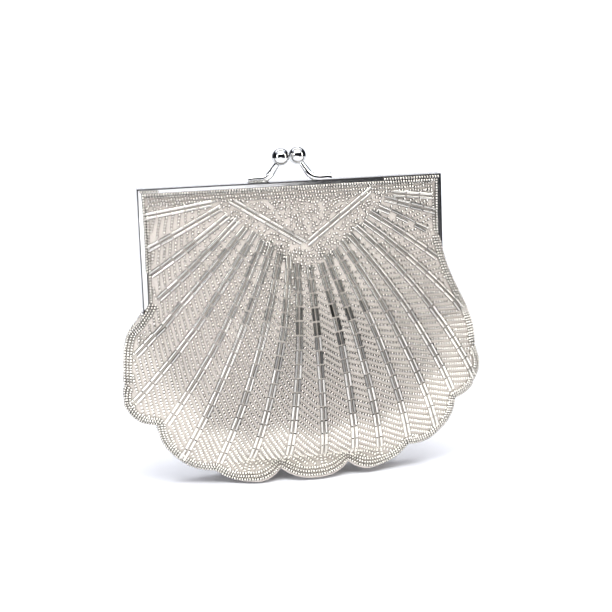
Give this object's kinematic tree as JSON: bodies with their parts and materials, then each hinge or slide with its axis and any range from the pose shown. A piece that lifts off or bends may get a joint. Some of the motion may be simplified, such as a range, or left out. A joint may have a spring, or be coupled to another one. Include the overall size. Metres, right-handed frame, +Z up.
{
  "type": "evening bag",
  "caption": "Beaded scallop-shell evening bag: soft lined pouch on a rectangular steel frame with a two-ball kiss-lock clasp and a scalloped hem.",
  "frame": {"origin": "on the floor under the middle of the closed bag", "axes": "+X along the frame to the right, -Y out of the front, +Z up"},
  "size_m": [0.1804, 0.0492, 0.1649],
  "materials": {
    "plated_frame": "nickel-plated rolled steel, polished",
    "plated_clasp": "nickel-plated brass, mirror polished",
    "plated_rivet": "nickel-plated steel, tumbled",
    "paper_cord": "twisted kraft paper",
    "beaded_satin": "warm grey satin, covered in silver-lined glass seed and bugle beads",
    "bead_edging": "rows of silver-lined glass seed beads on a rolled hem",
    "satin_lining": "cream acetate satin"
  },
  "bodies": {
    "pouch": {"front_panel_fold": "beaded_satin", "front_lining_fold": "satin_lining", "front_panel_lower": "beaded_satin", "front_lining_lower": "satin_lining", "front_scallop_skirt": "beaded_satin", "front_scallop_edging": "bead_edging", "back_panel_fold": "beaded_satin", "back_lining_fold": "satin_lining", "back_panel_lower": "beaded_satin", "back_lining_lower": "satin_lining", "back_scallop_skirt": "beaded_satin", "back_scallop_edging": "bead_edging"},
    "front_frame": {"front_frame_channel": "plated_frame", "front_clasp_arm": "plated_clasp", "front_clasp_ball": "plated_clasp", "front_cord_left": "paper_cord", "front_cord_right": "paper_cord", "front_cord_top": "paper_cord", "front_panel_upper": "beaded_satin", "front_lining_upper": "satin_lining", "hinge_rivet_left": "plated_rivet", "hinge_rivet_right": "plated_rivet"},
    "back_frame": {"back_frame_channel": "plated_frame", "back_clasp_arm": "plated_clasp", "back_clasp_ball": "plated_clasp", "back_cord_left": "paper_cord", "back_cord_right": "paper_cord", "back_cord_top": "paper_cord", "back_panel_upper": "beaded_satin", "back_lining_upper": "satin_lining"}
  },
  "joints": [
    {"name": "front_half_hinge", "type": "hinge", "parent": "pouch", "child": "front_frame", "pos_m": [0, 0, 0.0855], "axis": [1, 0, 0], "range_deg": [0, 45], "deforming": ["front_panel_fold", "front_lining_fold"]},
    {"name": "back_half_hinge", "type": "hinge", "parent": "pouch", "child": "back_frame", "pos_m": [0, 0, 0.0855], "axis": [1, 0, 0], "range_deg": [-45, 0], "deforming": ["back_panel_fold", "back_lining_fold"]}
  ],
  "couplings": [
    {"joint": "back_half_hinge", "follows": "front_half_hinge", "ratio": -1}
  ]
}
